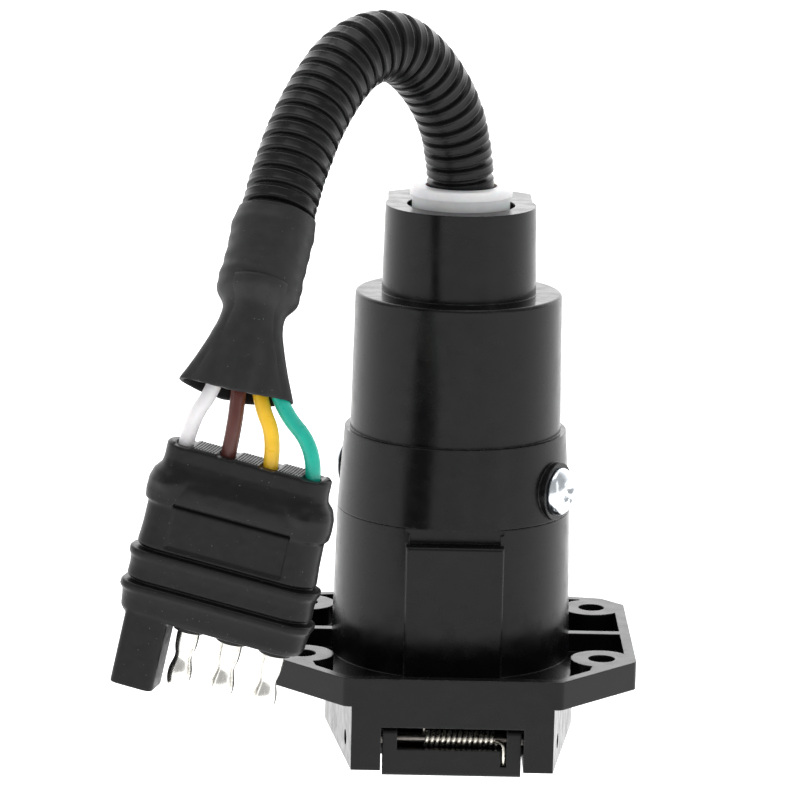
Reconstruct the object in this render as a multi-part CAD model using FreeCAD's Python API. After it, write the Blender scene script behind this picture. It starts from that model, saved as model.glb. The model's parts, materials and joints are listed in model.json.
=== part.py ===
import FreeCAD, Part
import math
import os

# Adapter between a four-way flat trailer plug and a seven-way round socket.
# Millimetres. X to the right, -Y towards the lid's hinge, +Z up towards the loom.
# The origin is on the socket's axis, on the upper face of its mounting flange.

V = FreeCAD.Vector
UP = V(0, 0, 1)

# Flange
FLANGE_T = 6.4
FLANGE_HALF_X = 41.6
FLANGE_FRONT = 43.75
FLANGE_FRONT_HALF = 24.0
FLANGE_BACK = 33.2
RIM_W = 2.4
POCKET_DEPTH = 4.4
BOLT_X = 33.8
BOLT_Y = 22.85
BOLT_HOLE_R = 3.05
BOLT_BOSS_R = 7.0
FLANGE_RIB_W = 2.6
WEB_HALF = 5.0

# Socket housing
HOUSING_R_LOW = 27.35
HOUSING_R_TOP = 26.65
HOUSING_TOP = 29.6
SPIGOT_R = 23.4
SPIGOT_TOP = 45.0
SPIGOT_BORE_R = 20.4
MOUTH_R = 28.6
MOUTH_BORE_R = 22.5
MOUTH_BOTTOM = -21.0
LEDGE_LOW = 12.0
LEDGE_TOP = 18.0
LEDGE_BORE_R = 15.8
HINGE_BLOCK_HALF = 22.5
PAD_HALF = 11.0
PAD_FRONT = 27.75
PAD_TOP = 26.2
PAD_ROUND = 0.7
SLOT_HALF = 10.2
KEY_HALF = 3.0
KEY_DEPTH = 1.6

# Lid hinge
HINGE_Y = -35.0
HINGE_Z = -15.9
NOTCH_HALF = 15.9
NOTCH_TOP = -11.1
NOTCH_BACK = -26.2
SWING_R = 9.3
PIN_R = 1.2
PIN_HALF = 23.2
PIN_RUNNING_GAP = 0.05
SPRING_R = 2.0
SPRING_WIRE_R = 0.45
SPRING_INSET = 0.65
SPRING_X0 = -6.6
SPRING_X1 = 10.6
SPRING_LEG_X = 11.6

# Lid
LID_TOP = -21.2
LID_BOTTOM = -23.5
LID_R = 27.2
LID_HALF = 15.5
KNUCKLE_FRONT = -39.5
KNUCKLE_BACK = -30.7
KNUCKLE_TOP = -11.7
EAR_INNER = 12.25
WINDOW_SILL = -17.35
SEAL_R_OUT = 26.4
SEAL_R_IN = 21.4
SEAL_T = 1.3
SEAL_GAP = 0.08

# Rear cap
CAP_BOTTOM = 29.75
CAP_WALL_BORE_R = 23.6
BAND_TOP = 48.0
BAND_R_LOW = 26.65
BAND_R_TOP = 25.35
BODY_R_LOW = 24.1
BODY_R_TOP = 23.5
SHOULDER = 79.6
NECK_R_LOW = 17.6
NECK_R_TOP = 17.1
NECK_TOP = 99.6
NECK_BORE_R = 12.3
SEAT_BORE_R = 9.5
NECK_BLOCK_HALF = 16.4
NECK_BLOCK_R = 23.3
CAP_BORE_R = 21.2
CAP_ROOF = 76.6
CAP_STEP = 46.0

# Cap screws, on one line through the axis
CAP_SCREW_ANGLE = -30.0
CAP_SCREW_Z = 36.4
CAP_BOSS_R = 6.6
CAP_BOSS_FACE = 26.95
SCREW_HEAD_R = 5.5
SCREW_HEAD_H = 3.0
SCREW_SHANK_R = 2.3
SCREW_TIP = 19.2

# Contacts
CARRIER_R = 20.2
CARRIER_TOP = 30.0
CARRIER_NOSE_R = 15.5
BLADE_CIRCLE_R = 13.0
BLADE_W = 8.2
BLADE_T = 1.6
BLADE_TIP = -8.0
TERMINAL_T = 6.0
TERMINAL_TOP = 38.0
TERMINAL_SCREW_Z = 34.5
TERMINAL_BORE_R = 1.7
CENTER_PIN_R = 2.4
CENTER_PIN_TIP = -6.0
CARRIER_SCREW_CIRCLE_R = 17.9
BLADE_ANGLES = {
    "blade_battery": 60,
    "blade_tail": 0,
    "blade_brake": -60,
    "blade_ground": -120,
    "blade_left_turn": 180,
    "blade_right_turn": 120,
}

# Loom, bushing and sleeve
LOOM_R = 8.0
BUSHING_BORE_R = 8.1
BUSHING_WIRE_R = 6.9
BUSHING_COLLAR_R = 11.1
BUSHING_RING_R = 11.6
BUSHING_LOW = 90.0
BUSHING_SEAT = 97.0
BUSHING_RING_LOW = 101.8
BUSHING_TOP = 104.0
LOOM_ROUTE = [
    (0, 0, 97),
    (0, 0, 109.4),
    (-4.4, -6.2, 125.5),
    (-15, -16.9, 138.4),
    (-25, -25.8, 137.2),
    (-33, -37.1, 127),
    (-37.9, -46.9, 115.5),
    (-41.4, -55.3, 102.8),
    (-44.4, -63.1, 89.1),
]
SLEEVE_WALL = 0.9
LOOM_GAP = 0.4
# half width, half thickness and height of the flattened end, from the loom's end to the mouth
SLEEVE_SECTIONS = [
    (8.6, 8.5, 0.01),
    (7.1, 6.3, -2.6),
    (7.4, 5.5, -6.5),
    (8.9, 4.7, -11.0),
    (10.7, 4.1, -16.0),
    (12.4, 3.6, -21.4),
]
SLEEVE_OVER_LOOM = 18.9
SLEEVE_PAST_LOOM = 21.4

# Flat plug: where the middle of its top face is, and how it leans and turns
PLUG_TOP = V(-45.1, -76.7, 56.9)
PLUG_LEAN = 11.6
PLUG_YAW = 12.0
PLUG_PITCH = 9.5
PLUG_HALF_T = 5.2
PLUG_BOTTOM = -38.6
POST_BOTTOM = -54.0
PIN_BARREL_R = 2.4
PIN_BULB_R = 2.6
PIN_WAIST_R = 1.85
WIRE_R = 1.65
CHANNEL_DEPTH = 0.45
WIRE_SEAT = -4.0
WIRE_SEAT_Y = -0.6
WIRE_COLOURS = ["white", "brown", "yellow", "green"]
WIRE_BUNCH = [(-3.6, 0.8), (-0.9, -1.9), (1.5, 1.9), (4.1, -0.9)]
WIRE_MOUTH_X = [-4.6, 0.6, 5.0, 8.8]

ARC_SHARE = 0.45


def box(x0, x1, y0, y1, z0, z1):
    return Part.makeBox(x1 - x0, y1 - y0, z1 - z0, V(x0, y0, z0))


def rod(r, z0, z1, x=0.0, y=0.0):
    return Part.makeCylinder(r, z1 - z0, V(x, y, z0))


def rod_x(r, x0, x1, y, z):
    return Part.makeCylinder(r, x1 - x0, V(x0, y, z), V(1, 0, 0))


def cone(r_low, r_top, z0, z1):
    return Part.makeCone(r_low, r_top, z1 - z0, V(0, 0, z0))


def prism(points, z0, z1, corner=0.0):
    """An upright prism on a closed outline, its upright edges rounded by corner."""
    ring = [V(x, y, z0) for x, y in points]
    ring.append(ring[0])
    solid = Part.Face(Part.makePolygon(ring)).extrude(V(0, 0, z1 - z0))
    if corner:
        upright = [e for e in solid.Edges if abs(e.tangentAt(e.FirstParameter).z) > 0.99]
        solid = solid.makeFillet(corner, upright)
    return solid


def turned(profile):
    """A solid of revolution about Z from (radius, height) points."""
    ring = [V(r, 0, z) for r, z in profile]
    ring.append(ring[0])
    return Part.Face(Part.makePolygon(ring)).revolve(V(0, 0, 0), UP, 360)


def mirrored_x(points):
    """A closed outline from the half of it at +X, listed front to back."""
    return points + [(-x, y) for x, y in reversed(points)]


def about_z(shape, degrees):
    copy = shape.copy()
    copy.rotate(V(0, 0, 0), UP, degrees)
    return copy


def at(shape, x, y, z):
    copy = shape.copy()
    copy.translate(V(x, y, z))
    return copy


def edges_at_height(solid, z):
    near = 1e-4
    return [e for e in solid.Edges if abs(e.BoundBox.ZMin - z) < near and abs(e.BoundBox.ZMax - z) < near]


def save(name, shape):
    if not isinstance(shape, list):
        shape = shape.Solids
    solids = [s.removeSplitter() for s in shape]
    whole = solids[0] if len(solids) == 1 else Part.makeCompound(solids)
    if not whole.isValid():
        raise RuntimeError(name + " is not valid")
    whole.exportStep("parts/" + name + ".step")
    print(name, len(solids), "solid(s)", round(sum(s.Volume for s in solids), 1), "mm3")


# ---- cords ----


def tube(name, route, radius):
    """A round cord: straight runs joined by tangent arcs, as large as the runs allow."""
    points = [V(*p) for p in route]
    edges = []
    radii = []
    start = points[0]
    for before, corner, after in zip(points, points[1:], points[2:]):
        back = before - corner
        ahead = after - corner
        half_turn = (math.pi - back.getAngle(ahead)) / 2
        cut = ARC_SHARE * min(back.Length, ahead.Length)
        bend = cut / math.tan(half_turn)
        arc_start = corner + V(back).normalize() * cut
        arc_end = corner + V(ahead).normalize() * cut
        inward = (V(back).normalize() + V(ahead).normalize()).normalize()
        arc_middle = corner + inward * (bend / math.cos(half_turn) - bend)
        edges.append(Part.LineSegment(start, arc_start).toShape())
        edges.append(Part.Arc(arc_start, arc_middle, arc_end).toShape())
        start = arc_end
        radii.append(round(bend, 1))
    edges.append(Part.LineSegment(start, points[-1]).toShape())
    path = Part.Wire(edges)
    length = path.Length
    ring = Part.Wire([Part.makeCircle(radius, points[0], points[1] - points[0])])
    solid = path.makePipeShell([ring], True, True)
    share = round(solid.Volume / (math.pi * radius**2 * length), 4)
    print(name, "length", round(length, 1), "bend radii", radii, "volume ratio", share)
    return solid


# ---- socket housing ----


def flange():
    half = [
        (FLANGE_FRONT_HALF, -FLANGE_FRONT),
        (FLANGE_HALF_X, -25.1),
        (FLANGE_HALF_X, 26.0),
        (36.5, 31.6),
        (27.0, FLANGE_BACK),
    ]
    plate = prism(mirrored_x(half), -FLANGE_T, 0, 2.0)
    inner = [
        (FLANGE_FRONT_HALF - 1.0, -FLANGE_FRONT + RIM_W),
        (FLANGE_HALF_X - RIM_W, -24.1),
        (FLANGE_HALF_X - RIM_W, 25.0),
        (35.5, 29.4),
        (26.5, FLANGE_BACK - RIM_W),
    ]
    pocket = prism(mirrored_x(inner), -POCKET_DEPTH, 1)
    kept = [rod(HOUSING_R_LOW, -FLANGE_T, 2)]
    for sx in (-1, 1):
        kept.append(box(min(0, sx * 41), max(0, sx * 41), -FLANGE_RIB_W / 2, FLANGE_RIB_W / 2, -FLANGE_T, 2))
        for sy in (-1, 1):
            kept.append(rod(BOLT_BOSS_R, -FLANGE_T, 2, sx * BOLT_X, sy * BOLT_Y))
            # web from the boss out past the flange's corner
            near = V(sx * BOLT_X, sy * (BOLT_Y - WEB_HALF), 0)
            far_x, far_y = sx * (FLANGE_HALF_X + 2), sy * (FLANGE_BACK + 3)
            web = [(near.x, near.y), (far_x, sy * (BOLT_Y - 1)), (far_x, far_y), (sx * 30, far_y)]
            kept.append(prism(web, -FLANGE_T, 2))
    pocket = pocket.cut(Part.makeCompound(kept))
    plate = plate.cut(pocket)
    for sx in (-1, 1):
        for sy in (-1, 1):
            plate = plate.cut(rod(BOLT_HOLE_R, -FLANGE_T - 1, 1, sx * BOLT_X, sy * BOLT_Y))
    return plate


def hinge_block():
    half = [(HINGE_BLOCK_HALF, -FLANGE_FRONT), (MOUTH_R - 0.15, -3.0), (MOUTH_R - 0.15, 0.0)]
    block = prism(mirrored_x(half), MOUTH_BOTTOM, -FLANGE_T, 0)
    block = block.fuse(rod(MOUTH_R, MOUTH_BOTTOM, -FLANGE_T))
    notch = box(-NOTCH_HALF, NOTCH_HALF, -FLANGE_FRONT - 1, NOTCH_BACK, MOUTH_BOTTOM - 1, NOTCH_TOP)
    swing = rod_x(SWING_R, -NOTCH_HALF, NOTCH_HALF, HINGE_Y, HINGE_Z)
    swing = swing.common(box(-NOTCH_HALF, NOTCH_HALF, -60, NOTCH_BACK, MOUTH_BOTTOM - 5, 0))
    block = block.cut(notch).cut(swing)
    # holes for the pin, each opened out where the pin's end shows
    block = block.cut(rod_x(PIN_R + 0.02, -40, 40, HINGE_Y, HINGE_Z))
    for x0, x1 in ((-40, -PIN_HALF + 0.3), (PIN_HALF - 0.3, 40)):
        block = block.cut(rod_x(PIN_R + 0.5, x0, x1, HINGE_Y, HINGE_Z))
    return block


def socket_housing():
    body = cone(HOUSING_R_LOW, HOUSING_R_TOP, 0, HOUSING_TOP)
    body = body.fuse(rod(HOUSING_R_LOW, -FLANGE_T, 0))
    body = body.fuse(rod(SPIGOT_R, HOUSING_TOP, SPIGOT_TOP))
    pad = box(-PAD_HALF, PAD_HALF, -PAD_FRONT, -15, -POCKET_DEPTH, PAD_TOP)
    front = [e for e in pad.Edges if e.BoundBox.YMax < -PAD_FRONT + 0.1 and e.BoundBox.ZMax > 0]
    pad = pad.makeFillet(PAD_ROUND, front)
    body = body.fuse(pad)
    body = body.fuse(flange()).fuse(hinge_block())
    # open slot above the pad, wider at its top
    slot = box(-SLOT_HALF, SLOT_HALF, -40, -SPIGOT_R - 0.4, PAD_TOP, HOUSING_TOP + 1)
    flare = box(-SLOT_HALF - 0.8, SLOT_HALF + 0.8, -40, -SPIGOT_R - 0.4, HOUSING_TOP - 1.3, HOUSING_TOP + 1)
    along_y = [e for e in flare.Edges if abs(e.tangentAt(e.FirstParameter).y) > 0.99]
    lower = [e for e in along_y if e.BoundBox.ZMax < HOUSING_TOP]
    body = body.cut(slot).cut(flare.makeFillet(0.7, lower))
    # the way through: mouth, ledge and carrier seat
    body = body.cut(rod(MOUTH_BORE_R, MOUTH_BOTTOM - 1, LEDGE_LOW))
    body = body.cut(rod(LEDGE_BORE_R, LEDGE_LOW - 1, LEDGE_TOP + 1))
    body = body.cut(rod(SPIGOT_BORE_R, LEDGE_TOP, SPIGOT_TOP + 1))
    # index key along the mouth, on the hinge side
    wall_y = -MOUTH_BORE_R
    key = box(-KEY_HALF, KEY_HALF, wall_y - 0.6, wall_y + KEY_DEPTH, MOUTH_BOTTOM + 5, LEDGE_LOW)
    body = body.fuse(key)
    # groove for the cap seal
    groove = rod(SPIGOT_R + 1, 31.4, 33.4).cut(rod(21.9, 31.4, 33.4))
    body = body.cut(groove)
    for turn in (0, 180):
        hole = rod_x(SCREW_SHANK_R, 10, 30, 0, CAP_SCREW_Z)
        body = body.cut(about_z(hole, CAP_SCREW_ANGLE + turn))
    for angle in (30, -150):
        spot = about_z(rod(1.1, 13.5, LEDGE_TOP + 1, CARRIER_SCREW_CIRCLE_R, 0), angle)
        body = body.cut(spot)
    return body


# ---- rear cap ----


def rear_cap():
    band = cone(BAND_R_LOW, BAND_R_TOP, CAP_BOTTOM, BAND_TOP)
    body = cone(BODY_R_LOW, BODY_R_TOP, BAND_TOP, SHOULDER)
    body = body.makeFillet(0.7, edges_at_height(body, SHOULDER))
    neck = cone(NECK_R_LOW, NECK_R_TOP, SHOULDER - 1, NECK_TOP)
    block = rod(NECK_BLOCK_R, SHOULDER - 2, NECK_TOP)
    block = block.common(box(-NECK_BLOCK_HALF, NECK_BLOCK_HALF, 0, 40, SHOULDER - 3, NECK_TOP))
    cap = band.fuse(body).fuse(neck).fuse(block)
    for turn in (0, 180):
        boss = rod_x(CAP_BOSS_R, 22, CAP_BOSS_FACE, 0, CAP_SCREW_Z)
        cap = cap.fuse(about_z(boss, CAP_SCREW_ANGLE + turn))
    cap = cap.cut(rod(CAP_WALL_BORE_R, CAP_BOTTOM - 5, CAP_STEP))
    cap = cap.cut(rod(CAP_BORE_R, CAP_STEP - 1, CAP_ROOF))
    cap = cap.cut(rod(NECK_BORE_R, CAP_ROOF - 1, NECK_TOP + 1))
    # seat ring the bushing's collar rests on
    seat = rod(NECK_BORE_R + 0.3, BUSHING_LOW - 2, BUSHING_LOW)
    cap = cap.fuse(seat.cut(rod(SEAT_BORE_R, BUSHING_LOW - 3, BUSHING_LOW + 1)))
    for turn in (0, 180):
        hole = rod_x(SCREW_SHANK_R + 0.3, 10, 30, 0, CAP_SCREW_Z)
        cap = cap.cut(about_z(hole, CAP_SCREW_ANGLE + turn))
    return cap


def cap_seal():
    return Part.makeTorus(22.72, 0.8, V(0, 0, 32.4), UP)


def cap_screw():
    """A cross-head screw along +X, its head's flat side at x = 0."""
    dome = [(SCREW_HEAD_R, 0), (SCREW_HEAD_R, 0.9), (4.6, 2.1), (3.0, 2.8), (1.2, SCREW_HEAD_H)]
    head = turned([(0, 0)] + dome + [(0, SCREW_HEAD_H)])
    cross = box(-3.0, 3.0, -0.55, 0.55, 1.3, 5).fuse(box(-0.55, 0.55, -3.0, 3.0, 1.3, 5))
    head = head.cut(cross)
    head = head.fuse(rod(SCREW_SHANK_R - 0.05, -CAP_BOSS_FACE + SCREW_TIP, 0.1))
    head.rotate(V(0, 0, 0), UP, 28)
    head.rotate(V(0, 0, 0), V(0, 1, 0), 90)
    return at(head, CAP_BOSS_FACE, 0, CAP_SCREW_Z)


# ---- contacts ----


def terminal_point(angle, radius=BLADE_CIRCLE_R):
    a = math.radians(angle)
    return radius * math.cos(a), radius * math.sin(a)


def blade(grow=0.0):
    """The flat of a contact, before it is turned to its place, grown by grow for its slot."""
    w = BLADE_W / 2 + grow
    t = BLADE_T / 2 + grow
    return box(BLADE_CIRCLE_R - t, BLADE_CIRCLE_R + t, -w, w, BLADE_TIP, CARRIER_TOP)


def blade_contact(angle):
    """A flat contact with its screw terminal behind."""
    bar = blade()
    tip = [e for e in bar.Edges if abs(e.BoundBox.ZMax - BLADE_TIP) < 1e-4 and e.Length > BLADE_T + 1]
    bar = bar.makeChamfer(0.45, tip)
    half = TERMINAL_T / 2
    side = BLADE_W / 2 - 0.6
    lug = box(BLADE_CIRCLE_R - half, BLADE_CIRCLE_R + half, -side, side, CARRIER_TOP, TERMINAL_TOP)
    lug = lug.cut(rod(TERMINAL_BORE_R, CARRIER_TOP + 1, TERMINAL_TOP + 1, BLADE_CIRCLE_R))
    lug = lug.cut(rod_x(1.2, BLADE_CIRCLE_R + 1, BLADE_CIRCLE_R + half + 1, 0, TERMINAL_SCREW_Z))
    return about_z(bar.fuse(lug), angle)


def center_contact():
    pin = rod(CENTER_PIN_R, CENTER_PIN_TIP, CARRIER_TOP)
    pin = pin.makeFillet(1.2, edges_at_height(pin, CENTER_PIN_TIP))
    lug = rod(3.4, CARRIER_TOP, TERMINAL_TOP + 3).cut(rod(TERMINAL_BORE_R, CARRIER_TOP + 2, TERMINAL_TOP + 4))
    lug = lug.cut(about_z(rod_x(1.2, 1, 5, 0, TERMINAL_TOP + 0.6), 30))
    return pin.fuse(lug)


def terminal_screw(start, z, angle):
    """A slotted set screw pointing in at the terminal's wire."""
    screw = rod_x(1.15, start - 1.2, start + 0.1, 0, z).fuse(rod_x(1.9, start, start + 1.5, 0, z))
    screw = screw.cut(box(start + 0.8, start + 3, -0.3, 0.3, z - 3, z + 3))
    return about_z(screw, angle)


def contact_carrier():
    disc = rod(CARRIER_R, LEDGE_TOP, CARRIER_TOP).fuse(rod(CARRIER_NOSE_R, LEDGE_TOP - 4, LEDGE_TOP))
    for angle in BLADE_ANGLES.values():
        disc = disc.cut(about_z(blade(0.02), angle))
    disc = disc.cut(rod(CENTER_PIN_R + 0.02, 0, CARRIER_TOP + 1))
    for angle in (30, -150):
        disc = disc.cut(about_z(rod(1.25, 0, CARRIER_TOP + 1, CARRIER_SCREW_CIRCLE_R, 0), angle))
    return disc


def carrier_screw(angle):
    screw = rod(1.08, 14, CARRIER_TOP + 0.1, CARRIER_SCREW_CIRCLE_R)
    head = rod(2.1, CARRIER_TOP, CARRIER_TOP + 1.6, CARRIER_SCREW_CIRCLE_R)
    head = head.cut(at(box(-1.3, 1.3, -0.3, 0.3, 0.7, 3), CARRIER_SCREW_CIRCLE_R, 0, CARRIER_TOP))
    head = head.cut(at(box(-0.3, 0.3, -1.3, 1.3, 0.7, 3), CARRIER_SCREW_CIRCLE_R, 0, CARRIER_TOP))
    return about_z(screw.fuse(head), angle)


def lead(angle, start_angle):
    """Route of a wire from the loom down to its terminal, held all the way."""
    x0, y0 = terminal_point(start_angle, 3.4)
    x1, y1 = terminal_point(angle)
    return [(x0, y0, BUSHING_SEAT), (x0, y0, 79), (x1, y1, 55), (x1, y1, 32.0)]


# ---- lid ----


def lid():
    plate = rod(LID_R, LID_BOTTOM, LID_TOP)
    plate = plate.fuse(box(-LID_HALF, LID_HALF, KNUCKLE_FRONT, -20, LID_BOTTOM, LID_TOP))
    plate = plate.fuse(box(-9, 9, 20, 31.5, LID_BOTTOM, LID_TOP))
    ear = box(-LID_HALF, LID_HALF, KNUCKLE_FRONT, KNUCKLE_BACK, LID_BOTTOM, KNUCKLE_TOP)
    ear = ear.makeFillet(2.2, [e for e in edges_at_height(ear, KNUCKLE_TOP) if e.Length > LID_HALF])
    low_edges = edges_at_height(ear, LID_BOTTOM)
    ear = ear.makeFillet(1.0, [e for e in low_edges if e.BoundBox.YMax < KNUCKLE_FRONT + 0.01])
    front = box(-20, 20, KNUCKLE_FRONT - 1, KNUCKLE_FRONT + 1.5, LID_BOTTOM - 1, LID_TOP + 1)
    plate = plate.cut(front).fuse(ear)
    # room between the ears for the spring, open at the front above the sill
    plate = plate.cut(box(-EAR_INNER, EAR_INNER, KNUCKLE_FRONT + 2.0, -30, LID_TOP, 0))
    plate = plate.cut(box(-EAR_INNER, EAR_INNER, KNUCKLE_FRONT - 1, -30, WINDOW_SILL, 0))
    # slot that the spring's leg lies in
    slot_x = SPRING_LEG_X - 0.75
    slot = box(slot_x, EAR_INNER, KNUCKLE_FRONT - 1, KNUCKLE_FRONT + 1.2, LID_TOP + 0.2, WINDOW_SILL + 1)
    plate = plate.cut(slot)
    plate = plate.cut(rod_x(PIN_R + PIN_RUNNING_GAP, -20, 20, HINGE_Y, HINGE_Z))
    # seat of the seal
    seat = rod(SEAL_R_OUT + 0.05, MOUTH_BOTTOM - SEAL_GAP - SEAL_T, 0).cut(rod(SEAL_R_IN - 0.05, -30, 1))
    return plate.cut(seat)


def lid_seal():
    top = MOUTH_BOTTOM - SEAL_GAP
    return rod(SEAL_R_OUT, top - SEAL_T, top).cut(rod(SEAL_R_IN, top - SEAL_T - 1, top + 1))


def lid_spring():
    """The coil as one sleeve round the pin, with its two legs."""
    coil = rod_x(SPRING_R, SPRING_X0, SPRING_X1, HINGE_Y, HINGE_Z)
    coil = coil.cut(rod_x(SPRING_R - 0.75, -20, 20, HINGE_Y, HINGE_Z))
    leg_y = KNUCKLE_FRONT + 0.6
    end_x = SPRING_X1 - SPRING_INSET
    front = [
        (end_x, HINGE_Y - SPRING_R + 0.35, HINGE_Z),
        (end_x, leg_y, HINGE_Z),
        (SPRING_LEG_X, leg_y, HINGE_Z - 0.3),
        (SPRING_LEG_X, leg_y, HINGE_Z - 4.8),
    ]
    back = Part.makeCylinder(SPRING_WIRE_R, 7.2, V(SPRING_X0 + SPRING_INSET, HINGE_Y + 1.75, HINGE_Z), UP)
    return coil.fuse(tube("spring leg", front, SPRING_WIRE_R)).fuse(back)


def hinge_pin():
    pin = rod_x(PIN_R, -PIN_HALF, PIN_HALF, HINGE_Y, HINGE_Z)
    ends = [e for e in pin.Edges if abs(e.BoundBox.XMax - e.BoundBox.XMin) < 1e-4]
    return pin.makeChamfer(0.25, ends)


# ---- loom end ----


def loom_bushing():
    body = rod(BUSHING_COLLAR_R, BUSHING_LOW, BUSHING_RING_LOW)
    ring = rod(BUSHING_RING_R, BUSHING_RING_LOW, BUSHING_TOP)
    ring = ring.makeFillet(0.7, edges_at_height(ring, BUSHING_TOP))
    body = body.fuse(ring).cut(rod(BUSHING_BORE_R, BUSHING_SEAT, BUSHING_TOP + 1))
    return body.cut(rod(BUSHING_WIRE_R, BUSHING_LOW - 1, BUSHING_SEAT + 1))


def sleeve_frame():
    """Placement with Z back up the loom and X across the flattened mouth, at the loom's end."""
    end = V(*LOOM_ROUTE[-1])
    back = (V(*LOOM_ROUTE[-2]) - end).normalize()
    across = V(0.98, -0.05, -0.2)
    across = (across - back * across.dot(back)).normalize()
    depth = back.cross(across)
    return FreeCAD.Placement(end, FreeCAD.Rotation(across, depth, back, "ZXY"))


def stadium(a, b, z):
    """A flattened ring, half as wide as a and half as thick as b."""
    flat = a - b
    edges = [
        Part.makeLine(V(-flat, -b, z), V(flat, -b, z)),
        Part.Arc(V(flat, -b, z), V(a, 0, z), V(flat, b, z)).toShape(),
        Part.makeLine(V(flat, b, z), V(-flat, b, z)),
        Part.Arc(V(-flat, b, z), V(-a, 0, z), V(-flat, -b, z)).toShape(),
    ]
    return Part.Wire(edges)


def heat_shrink_sleeve():
    bore = rod(LOOM_R + LOOM_GAP, 0, SLEEVE_OVER_LOOM + 1)
    grip = rod(LOOM_R + LOOM_GAP + SLEEVE_WALL, -0.8, SLEEVE_OVER_LOOM)
    flare = Part.makeLoft([stadium(*s) for s in SLEEVE_SECTIONS], True, False)
    inner = [(a - SLEEVE_WALL, b - SLEEVE_WALL, z) for a, b, z in SLEEVE_SECTIONS]
    hollow = Part.makeLoft([stadium(*s) for s in inner], True, False)
    sleeve = grip.fuse(flare).cut(bore).cut(hollow)
    sleeve.Placement = sleeve_frame()
    return sleeve


# ---- flat plug, built upright with its top face at z = 0 and its front towards -Y ----


def plug_placement():
    lean = FreeCAD.Rotation(V(0, 1, 0), PLUG_LEAN)
    yaw = FreeCAD.Rotation(UP, -PLUG_YAW)
    return FreeCAD.Placement(PLUG_TOP, lean.multiply(yaw))


def slab(half_w, half_t, z0, z1, corner):
    outline = [(half_w, -half_t), (half_w, half_t), (-half_w, half_t), (-half_w, -half_t)]
    return prism(outline, z0, z1, corner)


def plug_row():
    return [(i - 1.5) * PLUG_PITCH + 0.05 for i in range(4)]


def flat_plug_body():
    body = slab(18.1, PLUG_HALF_T - 0.3, -6, 0, 4.6)
    body = body.fuse(slab(20.2, PLUG_HALF_T + 0.4, -14.2, -6.8, 4.6))
    body = body.fuse(slab(19.7, PLUG_HALF_T, -24, -6, 4.6))
    body = body.fuse(slab(20.9, PLUG_HALF_T + 0.7, -25.8, -23.8, 4.6))
    body = body.fuse(slab(20.3, PLUG_HALF_T + 0.2, -31.4, -25.6, 4.6))
    body = body.fuse(slab(21.2, PLUG_HALF_T + 1.0, -33.4, -31.2, 4.6))
    body = body.fuse(slab(20.4, PLUG_HALF_T + 0.2, PLUG_BOTTOM, -33, 4.6))
    post = slab(4.75, PLUG_HALF_T - 0.2, POST_BOTTOM, -33, 1.6)
    body = body.fuse(at(post, plug_row()[0] + 0.5, 0, 0))
    for x in plug_row()[1:]:
        body = body.fuse(rod(3.4, PLUG_BOTTOM - 1.0, -34, x, 0))
    body = body.cut(box(-13.1, 13.1, -9, -PLUG_HALF_T + 0.6, -22.6, -12.6))
    for x in plug_row():
        body = body.cut(box(x - 1.9, x + 1.9, -9, 9, -CHANNEL_DEPTH, 1))
        body = body.cut(rod(WIRE_R + 0.05, WIRE_SEAT, 1, x, WIRE_SEAT_Y))
    for x in plug_row()[1:]:
        body = body.cut(rod(PIN_BARREL_R + 0.02, -50, -30, x, 0))
    body = body.cut(rod(3.3, POST_BOTTOM - 1, -34, plug_row()[0] + 0.5, 0))
    body.Placement = plug_placement()
    return body


def flat_pin(x):
    barrel = [(0, -30), (PIN_BARREL_R, -30), (PIN_BARREL_R, -43.2)]
    waist = [(PIN_WAIST_R, -44.6), (PIN_WAIST_R, -46.0)]
    bulb = [(PIN_BULB_R, -48.4), (PIN_BULB_R, -50.2), (1.9, -52.2), (0.8, -53.2), (0, -53.2)]
    profile = barrel + waist + bulb
    pin = at(turned(profile), x, 0, 0)
    pin.Placement = plug_placement().multiply(pin.Placement)
    return pin


def flat_socket_contact():
    x = plug_row()[0] + 0.5
    shell = rod(3.25, -52.5, -34, x, 0).cut(rod(2.65, -53, -37, x, 0))
    shell = shell.cut(box(x - 0.3, x + 0.3, -5, 0, -53, -42))
    shell.Placement = plug_placement()
    return shell


def exposed_wire(name, index):
    """From the loom's end, through the sleeve's mouth and into the top of the plug."""
    sleeve = sleeve_frame()
    plug = plug_placement()
    bunch_x, bunch_y = WIRE_BUNCH[index]
    row_x = plug_row()[index]
    route = [
        sleeve.multVec(V(bunch_x, bunch_y, 0)),
        sleeve.multVec(V(bunch_x, bunch_y, -7.0)),
        sleeve.multVec(V(WIRE_MOUTH_X[index], 0, -SLEEVE_PAST_LOOM - 0.8)),
        plug.multVec(V(row_x, WIRE_SEAT_Y, 5.0)),
        plug.multVec(V(row_x, WIRE_SEAT_Y, WIRE_SEAT)),
    ]
    return tube(name, [(p.x, p.y, p.z) for p in route], WIRE_R)


os.makedirs("parts", exist_ok=True)

save("socket_housing", socket_housing())
save("rear_cap", rear_cap())
save("cap_seal", cap_seal())
save("cap_screws", [about_z(cap_screw(), CAP_SCREW_ANGLE + turn) for turn in (0, 180)])
save("contact_carrier", contact_carrier())
save("carrier_screws", [carrier_screw(a) for a in (30, -150)])
for node, angle in BLADE_ANGLES.items():
    save(node, blade_contact(angle))
save("center_pin", center_contact())
outer_face = BLADE_CIRCLE_R + TERMINAL_T / 2
screws = [terminal_screw(outer_face, TERMINAL_SCREW_Z, a) for a in BLADE_ANGLES.values()]
screws.append(terminal_screw(3.4, TERMINAL_TOP + 0.6, 30))
save("terminal_screws", screws)
save("lid", lid())
save("lid_seal", lid_seal())
save("hinge_pin", hinge_pin())
save("lid_spring", lid_spring())
save("loom_bushing", loom_bushing())

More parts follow.
